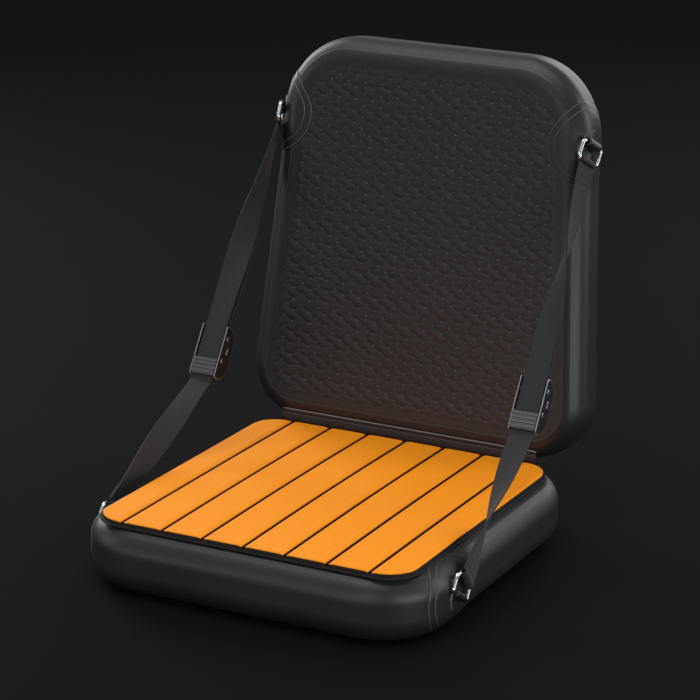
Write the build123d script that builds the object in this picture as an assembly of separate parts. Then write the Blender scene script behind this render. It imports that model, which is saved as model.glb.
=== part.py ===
from build123d import *
from math import cos, radians, sin
import os

# Folding kayak seat: two inflatable drop-stitch chambers joined by a fabric hinge.
# Millimetres. +Z up, +X to the right seen from the front, -Y is the front.
# The origin is the middle of the flat underside that rests on the hull floor.

# Seat chamber
seat_width = 384.0
seat_depth = 412.0
seat_thickness = 65.0
seat_front_radius = 72.0
seat_rear_radius = 86.0

# Backrest chamber
back_width_low = 399.0
back_width_high = 338.0
back_height = 419.5
back_thickness = 65.0
back_low_radius = 59.0
back_high_radius = 80.0
back_lean = 5.8

# Chamber walls
bulge_radius = 24.0
skin = 1.5
tape = 0.6
tape_width = 9.0
tape_edge = 4.0
yarn_radius = 0.9
yarn_pitch = 42.0
scrim = 0.6

# Seat pad
pad_side_inset = 22.0
pad_front_inset = 16.5
pad_radius = 30.0
backing_thickness = 1.5
backing_side_margin = 3.0
backing_rear_margin = 1.5
plank_thickness = 4.5
plank_count = 8
outer_plank_trim = 8.0
groove = 4.0
plank_bevel = 1.2

# Fabric hinge between the chambers
hinge_inset = 35.0
flap_width = 300.0
flap_thickness = 1.0
flap_reach = 17.0
flap_climb = 26.0
flap_gap = 0.6
fold_clearance = 0.6

# D-ring anchors on the side walls
anchor_inset = 85.0
anchor_z = 34.5
anchor_v = 336.0
anchor_climb = 16.0
patch_radius = 45.0
patch_inner_radius = 37.0
patch_sheet = 0.8
patch_rim = 4.0
tab_width = 20.0
tab_length = 19.0
tab_point = 8.0
tab_sheet = 1.6
ring_wire = 2.0
ring_width = 31.0
ring_height = 19.0
ring_far_radius = 6.0
ring_near_radius = 3.0
sleeve_wall = 1.2
sleeve_clearance = 0.3
upper_sleeve_clearance = 1.5
bar_gap = 1.1
loop_gap = 0.15
lower_pull_rise = 55.57
lower_bar_flare = 5.32

# Straps and cam buckles
webbing_width = 25.0
webbing_thickness = 1.5
webbing_loop = 18.0
strap_joint = 4.0
strap_lead = 8.0
buckle_side_inset = 9.0
buckle_y = 68.0
buckle_z = 171.0
buckle_length = 57.0
buckle_depth = 24.0
buckle_front = 2.6
plate_gap = 28.0
plate_thickness = 1.2
plate_round = 18.0
tie_length = 20.0
cam_pin_radius = 1.6
cam_pin_along = -8.5
cam_pin_deep = -4.5
cam_length = 18.0
cam_sheet = 1.8
cam_ear = 0.8
cam_side_clearance = 0.3
web_clearance = 0.8
bar_radius = 1.8
bar_along = 16.0
bar_deep = -4.6
pin_clearance = 0.05
spring_wire = 0.35
spring_radius = 2.5
spring_length = 9.0

# Inflation valves
valve_flange_radius = 15.0
valve_flange = 1.6
valve_tube_radius = 9.0
valve_bore_radius = 6.5
valve_tube_length = 16.0
valve_web = 2.0
plunger_radius = 4.6
plunger_stem_radius = 1.5
stem_clearance = 0.05
cap_radius = 11.0
cap_thickness = 3.0
cap_plug_depth = 5.0
cap_clearance = 0.3
seat_valve_x = -105.0
back_valve_x = -95.0
back_valve_v = 70.0

hinge_y = seat_depth / 2 - hinge_inset
pad_width = seat_width - 2 * pad_side_inset
pad_front = -seat_depth / 2 + pad_front_inset
pad_back = hinge_y - backing_rear_margin
plank_pitch = (pad_width + groove + 2 * outer_plank_trim) / plank_count
pad_top = seat_thickness + backing_thickness + plank_thickness
hinge_z = pad_top + flap_thickness + fold_clearance
lean = radians(back_lean)
back_plane = Plane(
    origin=(0, hinge_y, hinge_z),
    x_dir=(1, 0, 0),
    z_dir=(0, -cos(lean), sin(lean)),
)


def save(name, shape):
    shape.label = name
    export_step(shape, f"parts/{name}.step")


def mirrored(shape):
    return mirror(shape, about=Plane.YZ)


def seat_outline():
    face = Rectangle(seat_width, seat_depth)
    corners = face.vertices().sort_by(Axis.Y)
    face = fillet(corners[:2], seat_front_radius)
    corners = [v for v in face.vertices() if abs(v.Y - seat_depth / 2) < 0.01]
    return fillet(corners, seat_rear_radius)


def back_outline():
    low = back_width_low / 2
    high = back_width_high / 2
    # The sides lean in evenly; the lower corners are the wider ones.
    face = make_face(
        Polyline((-low, 0), (low, 0), (high, back_height), (-high, back_height), close=True)
    )
    corners = face.vertices().sort_by(Axis.Y)
    face = fillet(corners[:2], back_low_radius)
    corners = [v for v in face.vertices() if abs(v.Y - back_height) < 0.01]
    return fillet(corners, back_high_radius)


def cushion(outline, thickness, grow):
    """Rounded chamber solid, its wall moved out by grow."""
    plan = outline if grow == 0 else offset(outline, amount=grow)
    solid = Pos(0, 0, -grow) * extrude(plan, thickness + 2 * grow)
    rims = solid.faces().sort_by(Axis.Z)
    return fillet(rims[0].edges() + rims[-1].edges(), bulge_radius + grow)


def slab(low, high):
    return Pos(0, 0, (low + high) / 2) * Box(1200, 1200, high - low)


def drop_core(outline, thickness):
    """Two woven scrims tied together by rows of yarns."""
    reach = bulge_radius + skin
    plan = offset(outline, amount=-reach)
    inside = thickness - 2 * skin
    low = Pos(0, 0, skin) * extrude(plan, scrim)
    high = Pos(0, 0, thickness - skin - scrim) * extrude(plan, scrim)
    box = plan.bounding_box()
    columns = int((box.size.X - 20) / yarn_pitch) + 1
    rows = int((box.size.Y - 20) / yarn_pitch) + 1
    middle = box.center()
    yarns = []
    for place in GridLocations(yarn_pitch, yarn_pitch, columns, rows):
        x = middle.X + place.position.X
        y = middle.Y + place.position.Y
        if plan.face().is_inside(Vector(x, y, 0)):
            yarns.append(Pos(x, y, skin + inside / 2) * Cylinder(yarn_radius, inside))
    return low.fuse(high, *yarns)


def chamber(outline, thickness):
    outer = cushion(outline, thickness, 0)
    inner = cushion(outline, thickness, -skin)
    shell = outer - inner
    seam_low = tape_edge + tape_width / 2
    seam_high = thickness - seam_low
    taped = cushion(outline, thickness, tape) - outer
    return {
        "bottom_skin": shell & slab(-1, seam_low),
        "side_band": shell & slab(seam_low, seam_high),
        "top_skin": shell & slab(seam_high, thickness + 1),
        "lower_seam_tape": taped & slab(tape_edge, tape_edge + tape_width),
        "upper_seam_tape": taped
        & slab(thickness - tape_edge - tape_width, thickness - tape_edge),
        "drop_stitch_core": drop_core(outline, thickness),
    }


def rounded_pad(margin, rear_margin):
    width = pad_width + 2 * margin
    front = pad_front - margin
    back = pad_back + rear_margin
    shape = RectangleRounded(width, back - front, pad_radius + margin)
    return Pos(0, (front + back) / 2) * shape


def pad_backing():
    return Pos(0, 0, seat_thickness) * extrude(
        rounded_pad(backing_side_margin, backing_rear_margin), backing_thickness
    )


def plank(index):
    whole = rounded_pad(0, 0)
    left = -plank_count / 2 * plank_pitch + index * plank_pitch + groove / 2
    strip = Pos(left + (plank_pitch - groove) / 2, 0) * Rectangle(plank_pitch - groove, 900)
    floor = seat_thickness + backing_thickness
    solid = Pos(0, 0, floor) * extrude(whole & strip, plank_thickness)
    return chamfer(solid.faces().sort_by(Axis.Z)[-1].edges(), plank_bevel)


def seat_flap():
    """Lower half of the fabric hinge: lies behind the pad and stands up its rear edge."""
    front = pad_back + backing_rear_margin + flap_gap
    lying = Pos(0, front + flap_reach / 2, seat_thickness + flap_thickness / 2) * Box(
        flap_width, flap_reach, flap_thickness
    )
    height = hinge_z - flap_gap - seat_thickness
    standing = Pos(0, front + flap_thickness / 2, seat_thickness + height / 2) * Box(
        flap_width, flap_thickness, height
    )
    return lying + standing


def back_flap():
    """Upper half of the fabric hinge: bonded to the foot of the backrest face."""
    low = flap_gap
    sheet = Pos(0, (low + flap_climb) / 2, flap_thickness / 2) * Box(
        flap_width, flap_climb - low, flap_thickness
    )
    return back_plane * sheet


# Anchor frames: x is out of the wall, y is the pull direction, z is the ring's bar.
patch_stack = tape + 2 * patch_sheet
bar_lift = patch_stack + ring_wire + sleeve_clearance + bar_gap
seat_wall = seat_width / 2
anchor_y = -seat_depth / 2 + anchor_inset
buckle_middle = Vector(seat_wall - buckle_side_inset, buckle_y, buckle_z)
low_anchor = Vector(seat_wall + bar_lift, anchor_y, anchor_z)
side_run = Vector((back_width_high - back_width_low) / 2, back_height, 0).normalized()
side_out = Vector(side_run.Y, -side_run.X, 0)
back_wall = back_width_low / 2 + anchor_v * side_run.X / side_run.Y
# The upper anchor sits a little way round the wall's bulge, towards the face.
wall_flat = back_thickness / 2 - bulge_radius
wall_turn = (anchor_climb - wall_flat) / bulge_radius
wall_inset = bulge_radius * (1 - cos(wall_turn))
wall_height = wall_flat + bulge_radius * sin(wall_turn)
wall_point = Vector(back_wall, anchor_v, wall_height - back_thickness / 2) - side_out * wall_inset
wall_normal = side_out * cos(wall_turn) + Vector(0, 0, sin(wall_turn))
high_anchor = back_plane.from_local_coords(wall_point + wall_normal * bar_lift)
high_out = (back_plane.from_local_coords(wall_normal) - back_plane.origin).normalized()


def anchor_plane(anchor, out, pull):
    flat = (pull - out * pull.dot(out)).normalized()
    return Plane(origin=anchor, x_dir=out, z_dir=out.cross(flat))


rise = radians(lower_pull_rise)
flare = radians(lower_bar_flare)
low_pull = Vector(0, cos(rise), sin(rise))
# The lower bar flares a little out of the wall, so the strap swings clear of the backrest.
low_bar = Vector(-sin(flare), -cos(flare) * sin(rise), cos(flare) * cos(rise))
low_plane = Plane(origin=low_anchor, x_dir=low_pull.cross(low_bar), z_dir=low_bar)
high_plane = anchor_plane(high_anchor, high_out, buckle_middle - high_anchor)


def anchor_prism(plane, profile):
    """A profile in the wall's plane, run out through the wall."""
    face = Plane(origin=plane.origin, x_dir=plane.y_dir, z_dir=plane.x_dir) * profile
    return extrude(face, 30, both=True)


def tab_profile():
    half = tab_width / 2
    return make_face(
        Polyline(
            (0, -half),
            (0, half),
            (-tab_length + tab_point, half),
            (-tab_length, 0),
            (-tab_length + tab_point, -half),
            close=True,
        )
    )


def d_ring():
    """D-ring standing on its bar: bar along z, body along y."""
    frame = Pos(ring_height / 2, 0) * Rectangle(ring_height, ring_width)
    near = frame.vertices().sort_by(Axis.X)[:2]
    frame = fillet(near, ring_near_radius)
    far = [v for v in frame.vertices() if abs(v.X - ring_height) < 0.01]
    frame = fillet(far, ring_far_radius)
    wire = (Plane(origin=(0, 0, 0), x_dir=(0, 1, 0), z_dir=(1, 0, 0)) * frame).face().outer_wire()
    section = Plane(origin=wire @ 0, z_dir=wire % 0) * Circle(ring_wire)
    return sweep(section, path=wire)


def anchor(wall, plane, taped, trim, clearance):
    """Patch discs, tab and D-ring for one anchor. wall(grow) is the chamber grown outwards."""
    bore = ring_wire + clearance
    under = wall(0)
    first = wall(tape + patch_sheet)
    second = wall(patch_stack)
    third = wall(patch_stack + tab_sheet)
    outer = (first - under) & anchor_prism(plane, Circle(patch_radius)) & trim
    outer = outer - taped
    inner = (second - first) & anchor_prism(plane, Circle(patch_inner_radius)) & trim
    tail = (third - second) & anchor_prism(plane, tab_profile())
    tab = tail + plane * Cylinder(bore + sleeve_wall, tab_width)
    tab = tab - plane * Cylinder(bore, tab_width + 2) - second
    return {
        "patch_outer": outer,
        "patch_inner": inner,
        "ring_tab": tab,
        "d_ring": plane * d_ring(),
    }


def ribbon(stations, thickness):
    """Flat webbing lofted through stations of (centre, along, across)."""
    sections = []
    for centre, along, across in stations:
        plane = Plane(origin=centre, x_dir=across, z_dir=along)
        sections.append(plane * Rectangle(webbing_width, thickness))
    return loft(sections)


def twist_route(start, end, across_start, across_end, steps):
    along = (end - start).normalized()
    stations = []
    for i in range(steps + 1):
        share = i / steps
        ease = share * share * (3 - 2 * share)
        centre = start + (end - start) * share
        across = across_start * cos(ease * radians(90)) + across_end * sin(ease * radians(90))
        across = across - along * across.dot(along)
        stations.append((centre, along, across.normalized()))
    return stations


buckle_along = (high_anchor - buckle_middle)
buckle_along = Vector(0, buckle_along.Y, buckle_along.Z).normalized()
# Buckle frame: x across the webbing, y along it upwards, z out of its front.
buckle_plane = Plane(
    origin=buckle_middle, x_dir=(1, 0, 0), z_dir=Vector(1, 0, 0).cross(buckle_along)
)


def buckle_point(across, along, deep):
    return buckle_plane.from_local_coords(Vector(across, along, deep))


def ring_tip(plane):
    return plane.from_local_coords(Vector(0, ring_height, 0))


def web_sleeve(plane):
    """Sewn end of the webbing round the far side of a D-ring, pressed flat beside the wall."""
    bore = ring_wire + sleeve_clearance
    ring = Cylinder(bore + webbing_thickness, webbing_loop) - Cylinder(bore, webbing_loop + 2)
    pressed = bar_lift - patch_stack - loop_gap
    ring -= Pos(-pressed - 10, 0, 0) * Box(20, 20, webbing_loop + 2)
    return plane * (Pos(0, ring_height, 0) * ring)


def strap_lower():
    start = low_plane.from_local_coords(
        Vector(0, ring_height + ring_wire + sleeve_clearance + webbing_thickness / 2, 0)
    )
    end = buckle_point(0, -buckle_length / 2 - strap_joint - 1.2, 0)
    knee = start + low_plane.y_dir * strap_lead
    lead = (start, low_plane.y_dir, low_plane.z_dir)
    route = [lead] + twist_route(knee, end, low_plane.z_dir, Vector(1, 0, 0), 6)
    return ribbon(route, webbing_thickness) + web_sleeve(low_plane)


def strap_upper():
    through = extrude(
        Plane(
            origin=buckle_point(0, -buckle_length / 2 - strap_joint, 0),
            x_dir=(1, 0, 0),
            z_dir=buckle_along,
        )
        * Rectangle(webbing_width, webbing_thickness),
        buckle_length + 2 * strap_joint + 1,
    )
    start = buckle_point(0, buckle_length / 2 + strap_joint, 0)
    reach = ring_wire + sleeve_clearance + webbing_thickness / 2
    end = high_plane.from_local_coords(Vector(0, ring_height + reach, 0))
    route = twist_route(start, end, Vector(1, 0, 0), -high_plane.z_dir, 6)
    front = through + ribbon(route, webbing_thickness)
    bore = bar_radius + 0.3
    eye = Cylinder(bore + webbing_thickness, webbing_width) - Cylinder(bore, webbing_width + 2)
    eye = buckle_plane * (Pos(0, bar_along, bar_deep) * Rot(0, 90, 0) * eye)
    back_start = buckle_point(0, bar_along + bore + webbing_thickness / 2, bar_deep)
    back_end = high_plane.from_local_coords(Vector(0, ring_height + reach + 1, 0))
    back = ribbon(
        twist_route(back_start, back_end, Vector(1, 0, 0), -high_plane.z_dir, 6),
        webbing_thickness,
    )
    return front + back + eye + web_sleeve(high_plane)


def buckle_frame():
    half = buckle_length / 2
    profile = Pos(0, buckle_front - buckle_depth / 2) * Rectangle(buckle_length, buckle_depth)
    rear = [v for v in profile.vertices() if v.Y < 0]
    profile = fillet(rear, plate_round)
    profile = fillet([v for v in profile.vertices() if abs(v.Y - buckle_front) < 0.01], 3)
    profile -= Pos(cam_pin_along, cam_pin_deep) * Circle(cam_pin_radius)
    profile -= Pos(bar_along, bar_deep) * Circle(bar_radius)
    upright = Plane(origin=(0, 0, 0), x_dir=(0, 1, 0), z_dir=(1, 0, 0))
    plate = extrude(upright * profile, plate_thickness)
    right = Pos(plate_gap / 2, 0, 0) * plate
    left = Pos(-plate_gap / 2 - plate_thickness, 0, 0) * plate
    floor = buckle_front - buckle_depth
    tie = Pos(0, 0, floor + plate_thickness / 2) * Box(
        plate_gap + 2 * plate_thickness, tie_length, plate_thickness
    )
    return buckle_plane * (right + left + tie)


def cross_pin(radius, along, deep):
    length = plate_gap + 2 * plate_thickness + 0.8
    pin = Rot(0, 90, 0) * Cylinder(radius, length)
    return buckle_plane * (Pos(0, along, deep) * pin)


def buckle_cam():
    """Ribbed press pad with two ears that turn on the pin."""
    width = plate_gap - 2 * cam_side_clearance
    low = web_clearance + webbing_thickness / 2
    top = cam_pin_along - 0.5
    pad = Pos(0, top - cam_length / 2, low + cam_sheet / 2) * Box(width, cam_length, cam_sheet)
    for i in range(4):
        rib = Rot(0, 90, 0) * Cylinder(0.8, width)
        pad += Pos(0, top - 2.5 - i * 4.4, low + cam_sheet) * rib
    ear_profile = make_face(
        Polyline(
            (top, low + cam_sheet),
            (top - 9, low + cam_sheet),
            (cam_pin_along - 3.2, cam_pin_deep),
            (cam_pin_along + 3.2, cam_pin_deep),
            close=True,
        )
    ) + Pos(cam_pin_along, cam_pin_deep) * Circle(3.2)
    ear_profile -= Pos(cam_pin_along, cam_pin_deep) * Circle(cam_pin_radius + pin_clearance)
    upright = Plane(origin=(0, 0, 0), x_dir=(0, 1, 0), z_dir=(1, 0, 0))
    ear = extrude(upright * ear_profile, cam_ear)
    right = Pos(width / 2 - cam_ear, 0, 0) * ear
    left = Pos(-width / 2, 0, 0) * ear
    return buckle_plane * (pad + right + left)


def cam_spring():
    turns = 7
    path = Helix(pitch=spring_length / turns, height=spring_length, radius=spring_radius)
    coil = sweep(Plane(origin=path @ 0, z_dir=path % 0) * Circle(spring_wire), path=path)
    coil = Rot(0, 90, 0) * Pos(0, 0, -spring_length / 2) * coil
    return buckle_plane * (Pos(0, cam_pin_along, cam_pin_deep) * coil)


# Valve frame: z is out of the chamber wall, z=0 on the wall's outer face.
def valve_body():
    flange = Pos(0, 0, valve_flange / 2) * Cylinder(valve_flange_radius, valve_flange)
    tube = Pos(0, 0, -valve_tube_length / 2) * Cylinder(valve_tube_radius, valve_tube_length)
    body = flange + tube
    body -= Pos(0, 0, -valve_tube_length / 2) * Cylinder(valve_bore_radius, valve_tube_length + 9)
    web = Pos(0, 0, -valve_tube_length / 2) * Cylinder(valve_tube_radius - 0.5, valve_web)
    web -= Cylinder(plunger_stem_radius + stem_clearance, 90)
    for angle in (0, 90, 180, 270):
        web -= Rot(0, 0, angle) * Pos(4.2, 0, -valve_tube_length / 2) * Cylinder(1.4, 9)
    return body + web


def valve_plunger():
    middle = -valve_tube_length / 2
    stem = Pos(0, 0, middle) * Cylinder(plunger_stem_radius, 9)
    disc_z = middle - valve_web / 2 - 1.0
    disc = Pos(0, 0, disc_z - 0.3) * Cylinder(plunger_radius + 1.2, 1.4)
    button = Pos(0, 0, middle + 5.2) * Cylinder(plunger_radius - 1.4, 1.6)
    return stem + disc + button


def valve_cap():
    top = Pos(0, 0, valve_flange + cap_thickness / 2) * Cylinder(cap_radius, cap_thickness)
    plug_radius = valve_bore_radius - cap_clearance
    depth = cap_plug_depth - 1.8
    plug = Pos(0, 0, valve_flange - depth / 2) * Cylinder(plug_radius, depth)
    plug -= Pos(0, 0, valve_flange - depth) * Cylinder(plug_radius - 1.5, depth + 1)
    finger = Pos(0, 0, valve_flange + cap_thickness + 1.0) * Box(3, 1.7 * cap_radius, 2.4)
    return top + plug + finger


seat_valve_plane = Plane(
    origin=(seat_valve_x, seat_depth / 2, seat_thickness / 2), x_dir=(-1, 0, 0), z_dir=(0, 1, 0)
)
back_valve_plane = back_plane * Plane(
    origin=(back_valve_x, back_valve_v, -back_thickness), x_dir=(-1, 0, 0), z_dir=(0, 0, -1)
)


def build():
    os.makedirs("parts", exist_ok=True)
    seat_plan = seat_outline()
    back_plan = back_outline()
    sink = Pos(0, 0, -back_thickness)
    valve_hole = Pos(0, 0, -5) * Cylinder(valve_tube_radius, 20)
    seat_hole = seat_valve_plane * valve_hole
    back_hole = back_valve_plane * valve_hole

    seat_pieces = chamber(seat_plan, seat_thickness)
    back_pieces = chamber(back_plan, back_thickness)
    for name, piece in seat_pieces.items():
        if name == "side_band":
            piece = piece - seat_hole
        save(f"seat_{name}", piece)
    for name, piece in back_pieces.items():
        placed = back_plane * (sink * piece)
        if name in ("bottom_skin", "drop_stitch_core"):
            placed = placed - back_hole
        save(f"backrest_{name}", placed)

    save("pad_backing_sheet", pad_backing())
    for index in range(plank_count):
        save(f"pad_plank_{index + 1}", plank(index))
    save("hinge_flap_seat_half", seat_flap())
    save("hinge_flap_backrest_half", back_flap())

    def seat_wall_at(grow):
        return cushion(seat_plan, seat_thickness, grow)

    def back_wall_at(grow):
        return back_plane * (sink * cushion(back_plan, back_thickness, grow))

    side = Pos(600, 0, 0) * Box(1200, 3000, 3000)
    low_trim = side & slab(patch_rim, seat_thickness - patch_rim)
    high_trim = side & slab(patch_rim, back_thickness - patch_rim)
    low_tapes = seat_pieces["lower_seam_tape"] + seat_pieces["upper_seam_tape"]
    high_tapes = back_pieces["lower_seam_tape"] + back_pieces["upper_seam_tape"]
    low = anchor(seat_wall_at, low_plane, low_tapes, low_trim, sleeve_clearance)
    high = anchor(
        back_wall_at,
        high_plane,
        back_plane * (sink * high_tapes),
        back_plane * (sink * high_trim),
        upper_sleeve_clearance,
    )
    for place, pieces in (("lower", low), ("upper", high)):
        for name, piece in pieces.items():
            save(f"right_{place}_{name}", piece)
            save(f"left_{place}_{name}", mirrored(piece))

    pieces = {
        "strap_lower": strap_lower(),
        "strap_upper": strap_upper(),
        "buckle_frame": buckle_frame(),
        "buckle_cam": buckle_cam(),
        "buckle_cam_pin": cross_pin(cam_pin_radius, cam_pin_along, cam_pin_deep),
        "buckle_webbing_bar": cross_pin(bar_radius, bar_along, bar_deep),
        "buckle_cam_spring": cam_spring(),
    }
    for name, piece in pieces.items():
        save(f"right_{name}", piece)
        save(f"left_{name}", mirrored(piece))

    for place, plane in (("seat", seat_valve_plane), ("backrest", back_valve_plane)):
        save(f"{place}_valve_body", plane * valve_body())
        save(f"{place}_valve_plunger", plane * valve_plunger())
        save(f"{place}_valve_cap", plane * valve_cap())


build()
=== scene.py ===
import bpy
import math
from bisect import bisect_right
from mathutils import Matrix, Vector


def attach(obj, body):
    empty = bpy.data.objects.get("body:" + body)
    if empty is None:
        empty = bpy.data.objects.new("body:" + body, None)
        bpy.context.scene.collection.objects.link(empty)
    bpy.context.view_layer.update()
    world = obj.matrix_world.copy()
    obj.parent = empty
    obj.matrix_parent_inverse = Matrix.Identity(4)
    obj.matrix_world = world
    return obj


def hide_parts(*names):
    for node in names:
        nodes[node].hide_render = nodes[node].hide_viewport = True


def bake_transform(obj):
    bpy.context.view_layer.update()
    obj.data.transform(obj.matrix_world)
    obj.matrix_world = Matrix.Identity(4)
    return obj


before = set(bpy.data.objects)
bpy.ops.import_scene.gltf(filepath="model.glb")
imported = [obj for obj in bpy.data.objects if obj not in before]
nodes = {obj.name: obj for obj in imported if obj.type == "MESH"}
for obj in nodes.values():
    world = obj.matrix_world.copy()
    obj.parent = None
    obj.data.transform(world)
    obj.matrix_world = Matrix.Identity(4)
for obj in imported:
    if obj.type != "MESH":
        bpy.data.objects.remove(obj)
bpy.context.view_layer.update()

mm = 0.001
print("frame loaded:", len(nodes), "nodes")


# Small helpers for shader maths.

def mathsMethod(operation, swapped=False):
    # a method of Flow that adds one Math node; swapped puts the flow second
    def method(flow, *others):
        values = (*others, flow) if swapped else (flow, *others)
        return flow.finish.node("ShaderNodeMath", {"operation": operation}, *values)
    return method


class Flow:
    # one value running through a material; sums on it add their Math nodes
    def __init__(self, finish, socket):
        self.finish, self.socket = finish, socket

    __add__ = mathsMethod("ADD")
    __radd__ = mathsMethod("ADD", True)
    __sub__ = mathsMethod("SUBTRACT")
    __rsub__ = mathsMethod("SUBTRACT", True)
    __mul__ = mathsMethod("MULTIPLY")
    __rmul__ = mathsMethod("MULTIPLY", True)
    __truediv__ = mathsMethod("DIVIDE")
    __mod__ = mathsMethod("FLOORED_MODULO")
    __pow__ = mathsMethod("POWER")
    floor = mathsMethod("FLOOR")
    sin = mathsMethod("SINE")
    abs = mathsMethod("ABSOLUTE")
    least = mathsMethod("MINIMUM")
    under = mathsMethod("LESS_THAN")

    def ramp(self, low, high):
        # smooth step from 0 at low to 1 at high
        return self.finish.node("ShaderNodeMapRange", {"interpolation_type": "SMOOTHSTEP"},
                                self, low, high, 0.0, 1.0)


def socketName(key):
    # SpecularIorLevel stands for the socket "Specular IOR Level"
    words = key[0].upper() + "".join(" " + c if c.isupper() else c for c in key[1:])
    return words.replace("Ior ", "IOR ")


class Finish:
    def __init__(self, name, **constants):
        self.material = bpy.data.materials.new(name)
        self.material.use_nodes = True
        self.tree = self.material.node_tree
        self.shader = self.tree.nodes["Principled BSDF"]
        self.coords = None
        for key, value in constants.items():
            self.shader.inputs[socketName(key)].default_value = value

    def node(self, kind, settings=None, *values, out=0, **named):
        made = self.tree.nodes.new(kind)
        for key, value in (settings or {}).items():
            setattr(made, key, value)
        for place, value in list(enumerate(values)) + list(named.items()):
            socket = made.inputs[place if isinstance(place, int) else place.replace("_", " ")]
            self.feed(socket, value)
        return Flow(self, made.outputs[out])

    def feed(self, socket, value):
        if isinstance(value, Flow):
            self.tree.links.new(value.socket, socket)
        elif value is not None:
            socket.default_value = value

    def place(self):
        if self.coords is None:
            self.coords = self.node("ShaderNodeTexCoord", None, out=3)
        return self.coords

    def uv(self):
        return self.node("ShaderNodeUVMap", {"uv_map": "UVMap"})

    def split(self, vector):
        made = self.tree.nodes.new("ShaderNodeSeparateXYZ")
        self.feed(made.inputs[0], vector)
        return [Flow(self, made.outputs[k]) for k in range(3)]

    def reading(self, name):
        return self.node("ShaderNodeAttribute", {"attribute_name": name}, out=2)

    def noise(self, scale, detail=2.0, rough=0.5, vector=None):
        return self.node("ShaderNodeTexNoise", None, Vector=vector or self.place(), Scale=scale,
                         Detail=detail, Roughness=rough)

    def mix(self, share, a, b):
        made = self.tree.nodes.new("ShaderNodeMix")
        made.data_type = "RGBA"
        self.feed(made.inputs[0], share)
        self.feed(made.inputs[6], a)
        self.feed(made.inputs[7], b)
        return Flow(self, made.outputs[2])

    def bump(self, height, depth, strength=1.0, under=None):
        return self.node("ShaderNodeBump", None, Strength=strength, Distance=depth,
                         Height=height, Normal=under)

    def set(self, **wires):
        for key, value in wires.items():
            self.feed(self.shader.inputs[socketName(key)], value)
        return self


def rgb(red, green, blue):
    return (red, green, blue, 1.0)


# Finishes.

skinLook = {"dark": (0.0125, 0.0112, 0.0130), "pale": (0.0165, 0.0148, 0.0172), "rough": 0.36}


def coatedSkin(name, look, grain=0.00006, emboss=None, rim=0.0):
    f = Finish(name, SpecularIorLevel=0.45)
    cloud = f.noise(9.0, 3.0)
    fine = f.noise(900.0, 2.0)
    cells = f.node("ShaderNodeTexVoronoi", {"feature": "DISTANCE_TO_EDGE"}, Vector=f.place(),
                   Scale=1500.0)
    colour = f.mix(cloud, rgb(*look["dark"]), rgb(*look["pale"]))
    rough = look["rough"] + cloud * 0.10 + fine * 0.04
    normal = f.bump(cells + fine * 0.6, grain, 0.35)
    if emboss:
        height, dots, mask = emboss(f)
        normal = f.bump(height * mask, embossLook["depth"], 0.8, normal)
        normal = f.bump(dots * mask, embossLook["dotDepth"], 1.0, normal)
        # painted highlight on the brick crests and painted shade between the bricks
        colour = f.mix(height * mask * 0.30, colour, rgb(0.020, 0.0185, 0.0205))
        # painted highlights on the raised dots
        colour = f.mix(dots * mask * 0.6, colour, rgb(0.085, 0.082, 0.088))
        rough = rough + mask * 0.05
    if rim:
        edge = f.reading("rim").ramp(0.35, 0.95)     # painted highlight along the edges marked rim
        colour = f.mix(edge * rim, colour, rgb(0.30, 0.29, 0.28))
    return f.set(BaseColor=colour, Roughness=rough, Normal=normal)


# The backrest's face is embossed with a herringbone of small bricks.
embossLook = {
    "halfWide": 9.8 * mm, "halfHigh": 6.2 * mm, "offset": (2.67 * mm, 2.33 * mm),
    "depth": 0.0007, "dotDepth": 0.0003, "dotSize": 0.15, "border": (29 * mm, 35 * mm),
}
lean = math.radians(5.8)
hingeAt = Vector((0, 0.171, 0.0726))


def herringbone(f):
    look = embossLook
    x, y, z = f.split(f.place())
    across = x - look["offset"][0]
    climb = ((y - hingeAt.y) * math.sin(lean) + (z - hingeAt.z) * math.cos(lean)
             - look["offset"][1])
    wide = across * (0.5 / look["halfWide"])
    high = climb * (0.5 / look["halfHigh"])
    p, q = wide + high, wide - high
    column, row = p.floor(), q.floor()
    a, b = p - column, q - row
    turn = (column - row) % 4.0
    first = turn.under(1.5)            # bricks that rise to the right
    late = (turn - 1.5).abs().under(1.0)      # second half of either brick
    run = b + (a - b) * first + late
    cross = a + (b - a) * first
    crest = (cross * math.pi).sin()
    end = (run.least(2.0 - run) / 0.5).least(1.0)
    height = crest * (end * (math.pi / 2)).sin()
    nearP = (p - (p + 0.5).floor()).abs()
    nearQ = (q - (q + 0.5).floor()).abs()
    away = (nearP * nearP + nearQ * nearQ) ** 0.5
    dots = 1.0 - away.ramp(look["dotSize"] * 0.3, look["dotSize"])
    mask = f.reading("inset").ramp(*look["border"])
    return height, dots, mask


skinFinish = coatedSkin("chamberSkin", skinLook)
tapeFinish = coatedSkin("seamTape", {**skinLook, "rough": 0.34}, rim=0.08)
foldFinish = coatedSkin("hingeFabric", {"dark": (0.0062, 0.0020, 0.0016),
                                        "pale": (0.0085, 0.0028, 0.0022), "rough": 0.55}, rim=0.55)
faceFinish = coatedSkin("embossedSkin", {"dark": (0.0085, 0.0072, 0.0088),
                                         "pale": (0.0115, 0.0100, 0.0120), "rough": 0.37},
                        emboss=herringbone)
sheetFinish = coatedSkin("patchSheet", {"dark": (0.010, 0.0095, 0.0105),
                                        "pale": (0.014, 0.0135, 0.0150), "rough": 0.36}, rim=0.7)


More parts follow.
